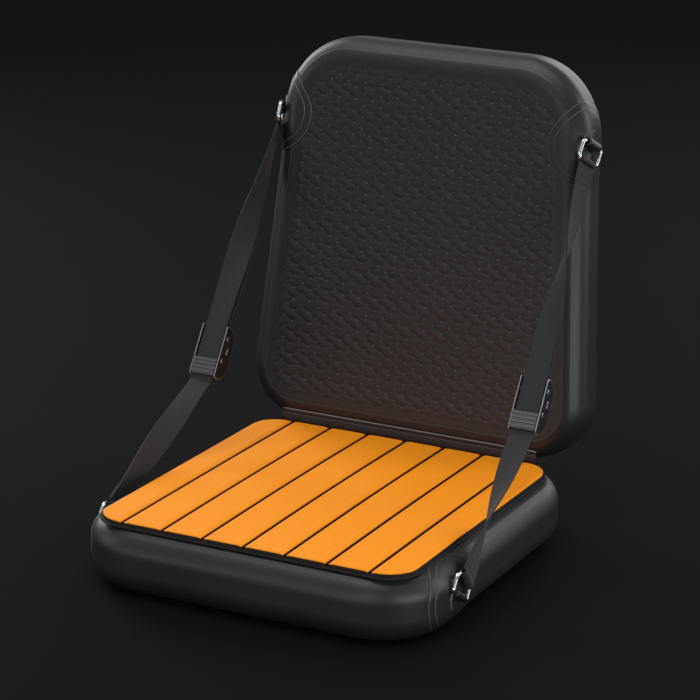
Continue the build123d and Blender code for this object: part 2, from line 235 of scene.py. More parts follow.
def foam(name, dark, pale, rough, paintedGrooveShade=False):
    f = Finish(name, SpecularIorLevel=0.3)
    cloud = f.noise(14.0, 3.0)
    pores = f.node("ShaderNodeTexVoronoi", {"feature": "F1"}, Vector=f.place(), Scale=1400.0)
    fine = f.noise(2600.0, 1.0)
    colour = f.mix(cloud * 0.8, rgb(*dark), rgb(*pale))
    # the pore dimples are darkened a little: painted shade in the pores
    colour = f.mix((1.0 - pores.ramp(0.0, 0.35)) * 0.12, colour, rgb(*[c * 0.7 for c in dark]))
    if paintedGrooveShade:
        under = 1.0 - f.reading("layer").ramp(0.80, 0.86)      # lower plank walls painted near-black: painted shade down the grooves
        colour = f.mix(under, colour, rgb(0.010, 0.006, 0.004))
        # a darker orange line where the bevel meets the plank top: painted shade at the crease
        creaseShade = f.reading("creaseShade")
        colour = f.mix(creaseShade * 0.35, colour, rgb(0.80, 0.15, 0.002))
    normal = f.bump(pores + fine * 0.5, 0.00009, 0.5)
    return f.set(BaseColor=colour, Roughness=rough + cloud * 0.08, Normal=normal)


orangeFoam = foam("orangeFoam", (0.97, 0.290, 0.001), (1.0, 0.330, 0.002), 0.66, True)
blackFoam = foam("blackFoam", (0.008, 0.006, 0.005), (0.014, 0.011, 0.010), 0.7)


def webbing(name):
    f = Finish(name, SpecularIorLevel=0.35, SheenWeight=0.12, SheenRoughness=0.5)
    u, v, _ = f.split(f.uv())
    rib = ((v * (2 * math.pi / 0.0019)).sin() * 0.5 + 0.5) ** 0.7
    weft = (u * (2 * math.pi / 0.0013) + (v * (math.pi / 0.0019)).floor() * math.pi).sin() * 0.5 + 0.5
    fuzz = f.noise(1500.0, 2.0)
    edge = u.abs().ramp(0.0100, 0.0118)
    weave = rib * 0.75 + weft * 0.25
    colour = f.mix(weave * 0.8 + fuzz * 0.25, rgb(0.0065, 0.0065, 0.0070), rgb(0.022, 0.022, 0.0235))
    colour = f.mix(edge * 0.5, colour, rgb(0.013, 0.013, 0.014))
    return f.set(BaseColor=colour, Roughness=0.62 + fuzz * 0.2,
                 Normal=f.bump(weave + fuzz * 0.15, 0.00022, 0.8))


webFinish = webbing("webbing")


def metal(name, colour, rough, brush=0.10, metallic=1.0, worn=None):
    f = Finish(name)
    place = f.node("ShaderNodeMapping", None, f.place(), (0, 0, 0), (0, 0, 0), (1.0, 1.0, 0.15))
    streak = f.noise(1800.0, 2.0, vector=place)
    smear = f.noise(60.0, 3.0)
    tone = f.mix(smear * 0.6, rgb(*colour), rgb(*[c * 0.82 for c in colour]))
    if worn:
        # edges marked rim take this grey tone and turn metallic, giving the plates a bright outline
        edge = f.reading("rim").ramp(0.3, 0.9) * (0.55 + smear * 0.6).least(1.0)
        tone = f.mix(edge, tone, rgb(*worn))
        f.set(Metallic=metallic + edge * (1.0 - metallic))
    else:
        f.shader.inputs["Metallic"].default_value = metallic
    return f.set(BaseColor=tone, Roughness=rough + streak * brush + smear * 0.06,
                 Normal=f.bump(streak, 0.00001, 0.2))


steelFinish = metal("polishedSteel", (0.80, 0.79, 0.77), 0.10)
blackMetal = metal("blackCoatedMetal", (0.010, 0.010, 0.011), 0.34, metallic=0.0,
                   worn=(0.42, 0.41, 0.40))
padMetal = metal("greyPressPad", (0.13, 0.13, 0.14), 0.30, metallic=0.75)
springSteel = metal("springSteel", (0.5, 0.5, 0.5), 0.25)


def moulded(name, dark, pale, rough):
    f = Finish(name)
    cloud = f.noise(30.0, 3.0)
    grain = f.noise(3000.0, 1.0)
    return f.set(BaseColor=f.mix(cloud, rgb(*dark), rgb(*pale)), Roughness=rough + grain * 0.1,
                 Normal=f.bump(grain, 0.00004, 0.4))


valveFinish = moulded("valvePlastic", (0.012, 0.012, 0.013), (0.018, 0.018, 0.019), 0.42)
capFinish = moulded("capPlastic", (0.020, 0.020, 0.021), (0.028, 0.028, 0.030), 0.36)
yarnFinish = moulded("coreYarn", (0.62, 0.61, 0.58), (0.75, 0.74, 0.70), 0.8)
threadFinish = moulded("thread", (0.012, 0.012, 0.013), (0.022, 0.022, 0.024), 0.6)
print("finishes made")


# Mesh helpers.

def makeMesh(name, points, faces, finish, uvs=None, smooth=True, readings=None):
    mesh = bpy.data.meshes.new(name)
    mesh.from_pydata([tuple(p) for p in points], [], faces)
    mesh.validate()
    if uvs:
        layer = mesh.uv_layers.new(name="UVMap")
        for loop in mesh.loops:
            layer.data[loop.index].uv = uvs[loop.vertex_index]
    for key, values in (readings or {}).items():
        mesh.attributes.new(key, "FLOAT", "POINT").data.foreach_set("value", values)
    mesh.materials.append(finish.material)
    mesh.polygons.foreach_set("use_smooth", [smooth] * len(mesh.polygons))
    piece = bpy.data.objects.new(name, mesh)
    bpy.context.scene.collection.objects.link(piece)
    return piece


def settle(piece):
    # bake live modifiers into a plain mesh
    depsgraph = bpy.context.evaluated_depsgraph_get()
    mesh = bpy.data.meshes.new_from_object(piece.evaluated_get(depsgraph))
    piece.modifiers.clear()
    piece.data = mesh
    return piece


def thicken(piece, amount, offset=-1.0):
    wall = piece.modifiers.new("wall", "SOLIDIFY")
    wall.thickness = amount
    wall.offset = offset
    wall.use_even_offset = True
    return settle(piece)


def flipped(name, source):
    # the same piece on the other side, with its faces turned out again
    piece = source.copy()
    piece.data = source.data.copy()
    piece.name = piece.data.name = name
    piece.data.transform(Matrix.Scale(-1, 4, (1, 0, 0)))
    piece.data.flip_normals()
    bpy.context.scene.collection.objects.link(piece)
    return piece


def gridFaces(rows, columns, loop=False):
    # quads over rows of points; loop joins the last column to the first
    faces = []
    for r in range(rows - 1):
        for c in range(columns if loop else columns - 1):
            near, far, d = r * columns, (r + 1) * columns, (c + 1) % columns
            faces.append((near + c, near + d, far + d, far + c))
    return faces


def roundedPlan(corners, step=0.006):
    # points and outward normals round a plan of (x, y, radius) corners, anticlockwise
    rail = []
    for k, (x, y, radius) in enumerate(corners):
        corner = Vector((x, y))
        back = (Vector(corners[k - 1][:2]) - corner).normalized()
        on = (Vector(corners[(k + 1) % len(corners)][:2]) - corner).normalized()
        opening = back.angle(on)
        turn = math.pi - opening
        centre = corner + (back + on).normalized() * (radius / math.sin(opening / 2))
        start = corner + back * (radius * math.tan(turn / 2)) - centre
        steps = max(4, int(radius * turn / (step * 0.7)))
        for i in range(steps + 1):
            a = turn * i / steps
            n = Vector((start.x * math.cos(a) - start.y * math.sin(a),
                        start.x * math.sin(a) + start.y * math.cos(a))) / radius
            rail.append((centre + n * radius, n))
    full = []
    for k, (p, n) in enumerate(rail):
        q, m = rail[(k + 1) % len(rail)]
        full.append((p, n))
        gap = (q - p).length
        if gap > step * 1.5:
            pieces = int(gap / step)
            full += [(p.lerp(q, i / pieces), n) for i in range(1, pieces)]
    return full


wellInside = 0.06       # inset given to the middle of a face, past any border


class Chamber:
    # an inflated chamber: its plan is carried round a bulging wall
    def __init__(self, corners, thickness, bulge, crown, place):
        self.rail = roundedPlan(corners)
        self.half, self.bulge, self.crown, self.place = thickness / 2, bulge, crown, place
        self.flat = self.half - bulge
        self.rim = self.flat + bulge * math.pi / 2      # climb at which the face begins
        self.runs = [0.0]
        for k in range(len(self.rail)):
            p, q = self.rail[k][0], self.rail[(k + 1) % len(self.rail)][0]
            self.runs.append(self.runs[-1] + (q - p).length)
        xs, ys = [p.x for p, n in self.rail], [p.y for p, n in self.rail]
        self.middle = Vector(((min(xs) + max(xs)) / 2, (min(ys) + max(ys)) / 2))
        self.reach = Vector(((max(xs) - min(xs)) / 2 - bulge, (max(ys) - min(ys)) / 2 - bulge))

    def along(self, run):
        run %= self.runs[-1]
        k = min(bisect_right(self.runs, run) - 1, len(self.rail) - 1)
        share = (run - self.runs[k]) / max(self.runs[k + 1] - self.runs[k], 1e-9)
        (p, n), (q, m) = self.rail[k], self.rail[(k + 1) % len(self.rail)]
        return p.lerp(q, share), n.lerp(m, share).normalized()

    def runNear(self, x, y):
        goal = Vector((x, y))
        best = min(range(len(self.rail)), key=lambda k: (self.rail[k][0] - goal).length)
        p, n = self.rail[best]
        return self.runs[best] + (goal - p).dot(Vector((-n.y, n.x)))

    def crownAt(self, x, y):
        a = min(1.0, abs(x - self.middle.x) / self.reach.x)
        b = min(1.0, abs(y - self.middle.y) / self.reach.y)
        return self.crown * math.cos(a * math.pi / 2) * math.cos(b * math.pi / 2)

    def spot(self, p, n, climb, proud=0.0):
        c, side = abs(climb), (1 if climb >= 0 else -1)
        a = min(max((c - self.flat) / self.bulge, 0.0), math.pi / 2)
        inset = self.bulge * (1 - math.cos(a)) + max(0.0, c - self.rim)
        height = min(c, self.flat) + self.bulge * math.sin(a)
        out = n * math.cos(a)
        at = p - n * inset + out * proud
        height += math.sin(a) * proud
        if side > 0:
            height += self.crownAt(at.x, at.y) * math.sin(a) ** 6
        return self.place @ Vector((at.x, at.y, height * side))

    def on(self, run, climb, proud=0.0):
        p, n = self.along(run)
        return self.spot(p, n, climb, proud)

    def band(self, name, low, high, finish, proud=0.0, rows=12, ease=0.0):
        points, rims = [], []
        for r in range(rows + 1):
            share = r / rows
            lift = proud if not ease else proud * min(1.0, min(share, 1 - share) / ease)
            points += [self.spot(p, n, low + (high - low) * share, lift) for p, n in self.rail]
            # the eased tape's edge rows are marked for a painted highlight
            rims += [1.0 if ease and r in (0, rows) else 0.0] * len(self.rail)
        return makeMesh(name, points, gridFaces(rows + 1, len(self.rail), True), finish,
                        readings={"rim": rims})

    def cover(self, name, start, finish, side=1):
        # the face and the round of the wall up to it, closed over in the middle
        climbs = [start + (self.rim - start) * i / 10 for i in range(11)]
        climbs += [self.rim + i * 0.003 for i in range(1, 9)]
        points, insets = [], []
        for c in climbs:
            for p, n in self.rail:
                points.append(self.spot(p, n, c * side))
                insets.append(self.bulge * (1 - math.cos(min((c - self.flat) / self.bulge, math.pi / 2)))
                              + max(0.0, c - self.rim))
        edge = [p - n * insets[-1] for p, n in self.rail]
        shares = [1 - i / 16 for i in range(1, 16)]
        for share in shares:
            for p in edge:
                at = self.middle + (p - self.middle) * share
                crown = self.crownAt(at.x, at.y) if side > 0 else 0.0
                points.append(self.place @ Vector((at.x, at.y, (self.half + crown) * side)))
                insets.append(wellInside)
        crown = self.crownAt(*self.middle) if side > 0 else 0.0
        points.append(self.place @ Vector((self.middle.x, self.middle.y, (self.half + crown) * side)))
        insets.append(wellInside)
        rows, columns = len(climbs) + len(shares), len(self.rail)
        faces = gridFaces(rows, columns, True)
        last = (rows - 1) * columns
        faces += [(last + c, last + (c + 1) % columns, len(points) - 1) for c in range(columns)]
        if side < 0:
            faces = [tuple(reversed(f)) for f in faces]
        return makeMesh(name, points, faces, finish, readings={"inset": insets})


# Chambers.

seatSize = {"width": 0.384, "depth": 0.412, "thickness": 0.065, "front": 0.072, "rear": 0.086,
            "bulge": 0.024, "crown": 0.0016}
backSize = {"low": 0.399, "high": 0.338, "height": 0.4195, "thickness": 0.065, "foot": 0.059,
            "head": 0.080, "bulge": 0.024, "crown": 0.0008}
seam = {"from": 0.0325, "to": 0.0435, "proud": 0.0003}
skinThick = 0.0015

w, d = seatSize["width"] / 2, seatSize["depth"] / 2
seat = Chamber([(w, -d, seatSize["front"]), (w, d, seatSize["rear"]), (-w, d, seatSize["rear"]),
                (-w, -d, seatSize["front"])], seatSize["thickness"], seatSize["bulge"],
               seatSize["crown"], Matrix.Translation((0, 0, seatSize["thickness"] / 2)))
upPanel = Vector((0, math.sin(lean), math.cos(lean)))
outPanel = Vector((0, -math.cos(lean), math.sin(lean)))
panelAt = hingeAt - outPanel * (backSize["thickness"] / 2)
panel = Matrix(((1, 0, 0, 0), (0, upPanel.y, outPanel.y, panelAt.y),
                (0, upPanel.z, outPanel.z, panelAt.z), (0, 0, 0, 1)))
low, high, tall = backSize["low"] / 2, backSize["high"] / 2, backSize["height"]
back = Chamber([(low, 0, backSize["foot"]), (high, tall, backSize["head"]),
                (-high, tall, backSize["head"]), (-low, 0, backSize["foot"])],
               backSize["thickness"], backSize["bulge"], backSize["crown"], panel)

for chamber, body, face in ((seat, "seat", skinFinish), (back, "backrest", faceFinish)):
    split = seam["from"] + 0.004
    parts = {
        "TopSkin": (chamber.cover(body + "TopSkin", split, face), body + "_top_skin"),
        "BottomSkin": (chamber.cover(body + "BottomSkin", split, skinFinish, -1),
                       body + "_bottom_skin"),
        "SideBand": (chamber.band(body + "SideBand", -split, split, skinFinish, rows=28),
                     body + "_side_band"),
    }
    for side, word in ((1, "upper"), (-1, "lower")):
        tape = chamber.band(body + word.capitalize() + "SeamTape",
                            *sorted((seam["from"] * side, seam["to"] * side)),
                            tapeFinish, seam["proud"], 12, 0.09)
        parts[word] = (tape, body + "_" + word + "_seam_tape")
    for key, (piece, node) in parts.items():
        if key in ("TopSkin", "BottomSkin", "SideBand"):
            thicken(piece, skinThick)
        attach(piece, body)
        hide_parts(node)
print("chambers made")


# Planked pad.

padSize = {"width": 0.340, "front": -0.1895, "back": 0.1695, "radius": 0.030, "count": 8,
           "groove": 0.004, "trim": 0.008, "thick": 0.0045, "sheet": 0.0015, "margin": 0.003,
           "rearMargin": 0.0015, "bevelWide": 0.0042, "bevelDeep": 0.0007, "soft": 0.0005}
sheetTop = seatSize["thickness"] + padSize["sheet"]


def padLimits(x, grow=0.0, rear=None):
    # front and rear of the rounded pad at this x
    half, radius = padSize["width"] / 2 + grow, padSize["radius"] + grow
    over = max(0.0, abs(x) - (half - radius))
    drop = radius - math.sqrt(max(0.0, radius * radius - over * over))
    return padSize["front"] - grow + drop, padSize["back"] + (grow if rear is None else rear) - drop


def padPlate(name, x0, x1, low, high, finish, bevel, grow=0.0, rear=None):
    half, radius = padSize["width"] / 2 + grow, padSize["radius"] + grow
    offsets = [0, 0.00025, 0.0006, 0.0012, 0.0022, 0.0034, 0.0038, 0.0042, 0.0046, 0.0052]
    xs = {round(v, 6) for o in offsets for v in (x0 + o, x1 - o) if x0 <= v <= x1}
    xs |= {round(x0 + (x1 - x0) * i / 9, 6) for i in range(10)}
    for side in (-1, 1):
        for i in range(13):
            x = side * (half - radius * (1 - math.sin(i / 12 * math.pi / 2)))
            if x0 - 1e-9 <= x <= x1 + 1e-9:
                xs.add(round(x, 6))
    xs = sorted(xs)
    tidy = [xs[0]]
    for x in xs[1:]:
        if x - tidy[-1] > 0.00012:
            tidy.append(x)
    xs = tidy
    ends = [0, 0.0002, 0.0005, 0.001, 0.002, 0.006]
    rows = len(ends) * 2 + 28
    points, creaseShades = [], []
    for x in xs:
        start, stop = padLimits(x, grow, rear)
        ys = [start + e for e in ends]
        ys += [start + 0.006 + (stop - start - 0.012) * i / 29 for i in range(1, 29)]
        ys += [stop - e for e in reversed(ends)]
        for y in ys:
            side = min(x - x0, x1 - x)
            end = min(y - start, stop - y)
            drop = bevel * max(0.0, 1 - side / padSize["bevelWide"])
            near = min(side, end)
            if near < padSize["soft"]:
                k = 1 - near / padSize["soft"]
                drop += padSize["soft"] * (1 - math.sqrt(max(0.0, 1 - k * k)))
            points.append((x, y, high + seat.crownAt(x, y) - drop))
            # marks the bevel's crease for a painted shade line
            creaseShades.append(max(0.0, 1 - abs(side - padSize["bevelWide"]) / 0.0008)
                           if bevel and end > 0.002 else 0.0)
    count = len(points)
    points += [(x, y, low + seat.crownAt(x, y)) for x, y, z in points]
    columns = len(xs)
    faces = [tuple(reversed(f)) for f in gridFaces(columns, rows)]
    faces += [tuple(count + v for v in reversed(f)) for f in faces]
    border = ([(c * rows) for c in range(columns)]
              + [(columns - 1) * rows + r for r in range(1, rows)]
              + [c * rows + rows - 1 for c in range(columns - 2, -1, -1)]
              + [r for r in range(rows - 2, 0, -1)])
    for a, b in zip(border, border[1:] + border[:1]):
        faces.append((a, a + count, b + count, b))
    # layer runs from 1 at the plank tops to 0 underneath, for the painted shade on the lower walls
    piece = makeMesh(name, points, faces, finish, readings={
        "layer": [1.0] * count + [0.0] * count, "creaseShade": creaseShades + [0.0] * count})
    piece.data.set_sharp_from_angle(angle=math.radians(40))
    return piece


half = padSize["width"] / 2 + padSize["margin"]
backing = padPlate("padBackingSheet", -half, half, seatSize["thickness"], sheetTop, blackFoam, 0.0,
                   padSize["margin"], padSize["rearMargin"])
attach(backing, "seat")
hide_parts("pad_backing_sheet")
pitch = (padSize["width"] + padSize["groove"] + 2 * padSize["trim"]) / padSize["count"]
for k in range(padSize["count"]):
    left = -padSize["count"] / 2 * pitch + k * pitch + padSize["groove"] / 2
    x0 = max(left, -padSize["width"] / 2)
    x1 = min(left + pitch - padSize["groove"], padSize["width"] / 2)
    plank = padPlate("padPlank" + str(k + 1), x0, x1, sheetTop, sheetTop + padSize["thick"],
                     orangeFoam, padSize["bevelDeep"])
    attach(plank, "seat")
    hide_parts("pad_plank_" + str(k + 1))
print("pad made")


# Hinge sheet between the chambers.

flapSize = {"width": 0.300, "thick": 0.0011, "columns": 60}


def hingePath():
    # from the seat's face behind the pad, up to the foot of the backrest
    points = []
    for y in (0.1905, 0.186, 0.181, 0.177):
        points.append(Vector((0, y, 0.0652)))
    points += [Vector((0, 0.1735, 0.0658)), Vector((0, 0.1722, 0.0685)), Vector((0, 0.1719, 0.0715))]
    for v, depth in ((0.0006, 0.0006), (0.003, 0.0008), (0.0058, 0.0010), (0.0064, 0.0017),
                     (0.0070, 0.0011), (0.0098, 0.0019), (0.0104, 0.0017), (0.0110, 0.0028)):
        points.append(hingeAt + upPanel * v - outPanel * depth)
    return points


def hingeSheet():
    path = hingePath()
    half, columns = flapSize["width"] / 2, flapSize["columns"]
    points, rims = [], []
    for k, p in enumerate(path):
        trim = 0.004 if k in (0, len(path) - 1) else 0.0
        for c in range(columns + 1):
            points.append(p + Vector(((c / columns * 2 - 1) * (half - trim), 0, 0)))
            # these fold rows are marked for a painted highlight
            rims.append(1.0 if k in (10, 13, 14) else 0.0)
    faces = gridFaces(len(path), columns + 1)
    piece = makeMesh("hingeSheet", points, faces, foldFinish, readings={"rim": rims})
    return thicken(piece, flapSize["thick"], 0.0)


hinge = hingeSheet()
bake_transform(hinge)
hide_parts("hinge_flap_seat_half", "hinge_flap_backrest_half")
hingeRun = hingePath()
print("hinge made")


# Anchors: patches, tabs and rings.

anchorSize = {"patch": 0.045, "inner": 0.037, "sheet": 0.0006, "lift": 0.0056, "tabWide": 0.020,
              "tabLong": 0.016, "tabPoint": 0.008, "tabThick": 0.0015, "wire": 0.002,
              "rise": math.radians(55.57), "flare": math.radians(5.32)}


def stuckSheet(name, chamber, run, climb, outline, low, thick, rings=9):
    # a sheet bonded to the wall; outline gives (run, climb) offsets round it
    points, rims = [], []
    loop = len(outline)
    shares = [1.0, 0.985] + [1 - i / rings for i in range(1, rings)]
    middle = Vector((sum(p[0] for p in outline) / loop, sum(p[1] for p in outline) / loop))
    for k, share in enumerate([1.0] + shares):
        lift = low if k == 0 else low + thick * (0.75 if k == 1 else 1.0)
        for u, v in outline:
            at = middle + (Vector((u, v)) - middle) * share
            points.append(chamber.on(run + at.x, climb + at.y, lift))
            # the sheet's edge rows are marked for a painted highlight
            rims.append(1.0 if k < 2 else 0.0)
    points.append(chamber.on(run + middle.x, climb + middle.y, low + thick))
    rims.append(0.0)
    rows = len(shares) + 1
    faces = gridFaces(rows, loop, True)
    last = (rows - 1) * loop
    faces += [(last + c, last + (c + 1) % loop, len(points) - 1) for c in range(loop)]
    return makeMesh(name, points, faces, sheetFinish, readings={"rim": rims})


def disc(radius, count=96):
    return [(radius * math.cos(2 * math.pi * k / count), radius * math.sin(2 * math.pi * k / count))
            for k in range(count)]


def tabOutline(pull):
    # a pointed tail running back from the bar, turned so that it lies against the pull
    half, tail, point = anchorSize["tabWide"] / 2, anchorSize["tabLong"], anchorSize["tabPoint"]
    corners = [(0, half), (-tail + point, half), (-tail, 0), (-tail + point, -half), (0, -half)]
    dense = []
    for k, a in enumerate(corners):
        b = corners[(k + 1) % len(corners)]
        steps = max(2, int(math.dist(a, b) / 0.003))
        dense += [(a[0] + (b[0] - a[0]) * i / steps, a[1] + (b[1] - a[1]) * i / steps)
                  for i in range(steps)]
    c, s = pull
    return [(x * c - y * s, x * s + y * c) for x, y in dense]


def tabSleeve(name, plane, bore, finish):
    # the tab's fold round the ring's bar, run down to the wall
    wall, half, count = anchorSize["tabThick"], anchorSize["tabWide"] / 2, 18
    drop = anchorSize["lift"] - 0.0020
    profile = []
    for k in range(count + 1):
        a = math.pi * k / count - math.pi / 2
        profile.append((bore * math.cos(a), bore * math.sin(a)))
    profile = [(-drop, -bore * 0.55)] + profile + [(-drop, bore * 0.55)]
    points = []
    for k in range(9):
        z = (k / 8 * 2 - 1) * half
        points += [plane @ Vector((x, y, z)) for x, y in profile]
    piece = makeMesh(name, points, gridFaces(9, len(profile)), finish)
    return thicken(piece, wall * 0.9, 1.0)


def axesMatrix(origin, x, y, z):
    return Matrix(((x.x, y.x, z.x, origin.x), (x.y, y.y, z.y, origin.y),
                   (x.z, y.z, z.z, origin.z), (0, 0, 0, 1)))


rise, flare = anchorSize["rise"], anchorSize["flare"]
lowAt = Vector((0.1976, -0.121, 0.0345))
lowPull = Vector((0, math.cos(rise), math.sin(rise)))
lowBar = Vector((-math.sin(flare), -math.cos(flare) * math.sin(rise), math.cos(flare) * math.cos(rise)))
lowFrame = axesMatrix(lowAt, lowPull.cross(lowBar), lowPull, lowBar)
highAt = Vector((0.179226, 0.219809, 0.405675))
highFrame = axesMatrix(highAt, Vector((0.949063, -0.298892, 0.099718)),
                       Vector((-0.073574, -0.517946, -0.852243)),
                       Vector((0.306377, 0.801496, -0.513554)))

anchors = (
    ("lower", seat, "seat", lowFrame, 0.0023, 0.002),
    ("upper", back, "backrest", highFrame, 0.0035, 0.016),
)
for word, chamber, body, plane, bore, climb in anchors:
    local = chamber.place.inverted() @ plane.translation
    run = chamber.runNear(local.x, local.y)
    p, n = chamber.along(run)
    # pull direction in the wall: along the run and up the wall
    direction = chamber.place.to_3x3().inverted() @ plane.to_3x3().col[1]
    turn = max(0.0, climb - chamber.flat) / chamber.bulge
    rising = direction.z * math.cos(turn) - (direction.x * n.x + direction.y * n.y) * math.sin(turn)
    pull = Vector((direction.x * -n.y + direction.y * n.x, rising)).normalized()
    base = seam["proud"] + 0.0001
    sheet, title = anchorSize["sheet"], "right" + word.capitalize()
    sheets = {
        "patch_outer": stuckSheet(title + "PatchOuter", chamber, run, climb,
                                  disc(anchorSize["patch"]), base, sheet),
        "patch_inner": stuckSheet(title + "PatchInner", chamber, run, climb,
                                  disc(anchorSize["inner"]), base + sheet, sheet),
    }
    tail = stuckSheet("tail", chamber, run, climb, tabOutline(pull), base + 2 * sheet,
                      anchorSize["tabThick"])
    sleeve = tabSleeve("sleeve", plane, bore, sheetFinish)
    with bpy.context.temp_override(active_object=tail, selected_editable_objects=[tail, sleeve]):
        bpy.ops.object.join()
    tail.name = tail.data.name = title + "RingTab"
    sheets["ring_tab"] = tail
    for key, piece in sheets.items():
        other = flipped(piece.name.replace("right", "left"), piece)
        for side, item in (("right", piece), ("left", other)):
            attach(item, body)
            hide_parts(side + "_" + word + "_" + key)
print("anchors made")


# Straps.

strapSize = {"split": 18, "width": 0.025, "thick": 0.0015, "turnWide": 0.0235, "ring": 0.019,
             "tailLift": 0.0016, "seamLift": 0.0011, "steps": 90}
buckleSize = {"long": 0.057, "deep": 0.024, "front": 0.0026, "gap": 0.028, "plate": 0.0012,
              "rear": 0.018, "nose": 0.003, "chamfer": 0.0005, "pin": (-0.0085, -0.0045),
              "bar": (0.016, -0.0046), "barRadius": 0.0018, "tie": 0.020}
buckleAt = Vector((0.183, 0.068, 0.171))
buckleUp = Vector((0, 0.543152, 0.839634)).normalized()
buckleOut = Vector((0, -0.839634, 0.543152)).normalized()
sideways = Vector((1, 0, 0))


def outOf(along, across):
    return along.cross(across).normalized()


def ribbon(stations, width=strapSize["width"]):
    # flat webbing through (centre, along, across) stations; UV is in metres, across and along
    half, side = width / 2, strapSize["thick"] / 2
    ring = [(-half + side * 0.3, -side), (half - side * 0.3, -side), (half, -side * 0.3),
            (half, side * 0.3), (half - side * 0.3, side), (-half + side * 0.3, side),
            (-half, side * 0.3), (-half, -side * 0.3)]
    dense = []
    for k in range(len(ring)):
        a, b = ring[k], ring[(k + 1) % len(ring)]
        steps = 6 if abs(a[0] - b[0]) > half else 1
        dense += [(a[0] + (b[0] - a[0]) * i / steps, a[1] + (b[1] - a[1]) * i / steps)
                  for i in range(steps)]
    points, uvs, travelled, last = [], [], 0.0, None
    for centre, along, across, *share in stations:
        out = outOf(along, across)
        wide = share[0] if share else 1.0
        if last is not None:
            travelled += (centre - last).length
        last = centre
        for x, y in dense:
            points.append(centre + across * (x * wide) + out * y)
            uvs.append((x * wide, travelled))
    count = len(dense)
    faces = [tuple(reversed(f)) for f in gridFaces(len(stations), count, True)]
    faces.append(tuple(range(count)))
    faces.append(tuple(reversed(range(len(points) - count, len(points)))))
    return points, faces, uvs


def twistRoute(start, end, acrossStart, acrossEnd, bow=None):
    run, steps = end - start, strapSize["steps"]
    stations = []
    for k in range(steps + 1):
        share = k / steps
        ease = share * share * (3 - 2 * share)
        centre = start + run * share
        if bow is not None:
            centre = centre + bow * (4 * share * (1 - share))
        across = acrossStart * math.cos(ease * math.pi / 2) + acrossEnd * math.sin(ease * math.pi / 2)
        along = run.normalized()
        across = (across - along * across.dot(along)).normalized()
        stations.append((centre, along, across))
    return stations


def ringLoop(plane, centre, axis, reach, count=24):
    # the webbing's end, turned round the ring and open towards the strap
    along = plane.to_3x3().col[0].cross(axis).normalized()
    along = along if along.dot(plane.to_3x3().col[1]) > 0 else -along
    out = plane.to_3x3().col[0].normalized()
    stations = []
    for k in range(count + 1):
        a = math.radians(62 + 236 * k / count)
        at = centre + along * (reach * math.cos(a)) + out * (reach * math.sin(a))
        turn = out * math.cos(a) - along * math.sin(a)
        stations.append((at, turn, axis))
    return ribbon(stations, strapSize["turnWide"])


def cutTail(stations, offset, first, last):
    # the sewn-back end: lies on the strap and finishes in cut corners
    picked = stations[first:last]
    tail = []
    for k, (c, along, across) in enumerate(picked):
        left = len(picked) - 1 - k
        share = (0.45, 0.72, 0.97)[min(left, 2)]
        tail.append((c + outOf(along, across) * offset, along, across, share))
    return ribbon(tail)


def bucklePoint(across, along, out):
    return buckleAt + Vector((across, 0, 0)) + buckleUp * along + buckleOut * out


def joined(parts):
    # several (points, faces, one value per point) as one
    points, faces, values = [], [], []
    for p, f, v in parts:
        faces += [tuple(corner + len(points) for corner in face) for face in f]
        points += p
        values += v
    return points, faces, values


def lowerWebbing():
    reach = anchorSize["wire"] + 0.0004 + strapSize["thick"] / 2
    out = lowFrame.to_3x3().col[0].normalized()
    end = bucklePoint(0, -buckleSize["long"] / 2 - 0.0052, 0)
    hold = lowFrame @ Vector((0, strapSize["ring"] - 0.0006, -0.0050))
    pull = (end - hold).normalized()
    axis = out.cross(pull).normalized()
    axis = axis if axis.dot(lowBar) > 0 else -axis
    main = twistRoute(hold + pull * reach, end, axis, sideways)
    side = math.copysign(strapSize["tailLift"], outOf(*main[0][1:]).dot(out))
    parts = [ribbon(main), ringLoop(lowFrame, hold, axis, reach), cutTail(main, side, 0, 13)]
    seams = []
    for k in (3, 5, 8):
        c, along, across = main[k]
        seams.append((c + outOf(along, across) * side * 1.46, across))
    return joined(parts), seams


def upperWebbing():
    reach = anchorSize["wire"] + 0.0006 + strapSize["thick"] / 2
    highBar = highFrame.to_3x3().col[2].normalized()
    barAlong, barOut = buckleSize["bar"]
    start = bucklePoint(0, buckleSize["long"] / 2 + 0.004, 0)
    hold = highFrame @ Vector((0, strapSize["ring"], 0))
    pull = (start - hold).normalized()
    top = hold + pull * reach
    through = [(bucklePoint(0, -0.0325 + 0.065 * k / 12, 0), buckleUp, sideways)
               for k in range(13)]
    front = twistRoute(start, top, sideways, -highBar)
    parts = [ribbon(through + front[1:])]
    around = []
    for k in range(21):
        a = math.radians(-90 + 230 * k / 20)
        r = buckleSize["barRadius"] + 0.0003 + strapSize["thick"] / 2
        at = bucklePoint(0, barAlong - r * math.cos(a), barOut + r * math.sin(a))
        around.append((at, (buckleUp * math.sin(a) + buckleOut * math.cos(a)).normalized(), sideways))
    backStart = bucklePoint(0, barAlong + 0.0029, barOut)
    rear = twistRoute(backStart, top, sideways, -highBar, buckleOut * -0.003)
    split = strapSize["split"]
    parts.append(ribbon(rear[split:]))
    parts.append(ringLoop(highFrame, hold, highBar, reach))
    turn = [ribbon(around), ribbon(rear[:split + 1])]
    seams = []
    for k in (82, 85):
        c, along, across = front[k]
        lift = outOf(along, across) * strapSize["seamLift"]
        seams += [(c + lift, across), (c - lift, across)]
    return joined(parts), seams, joined(turn), backStart, rear[split][0]
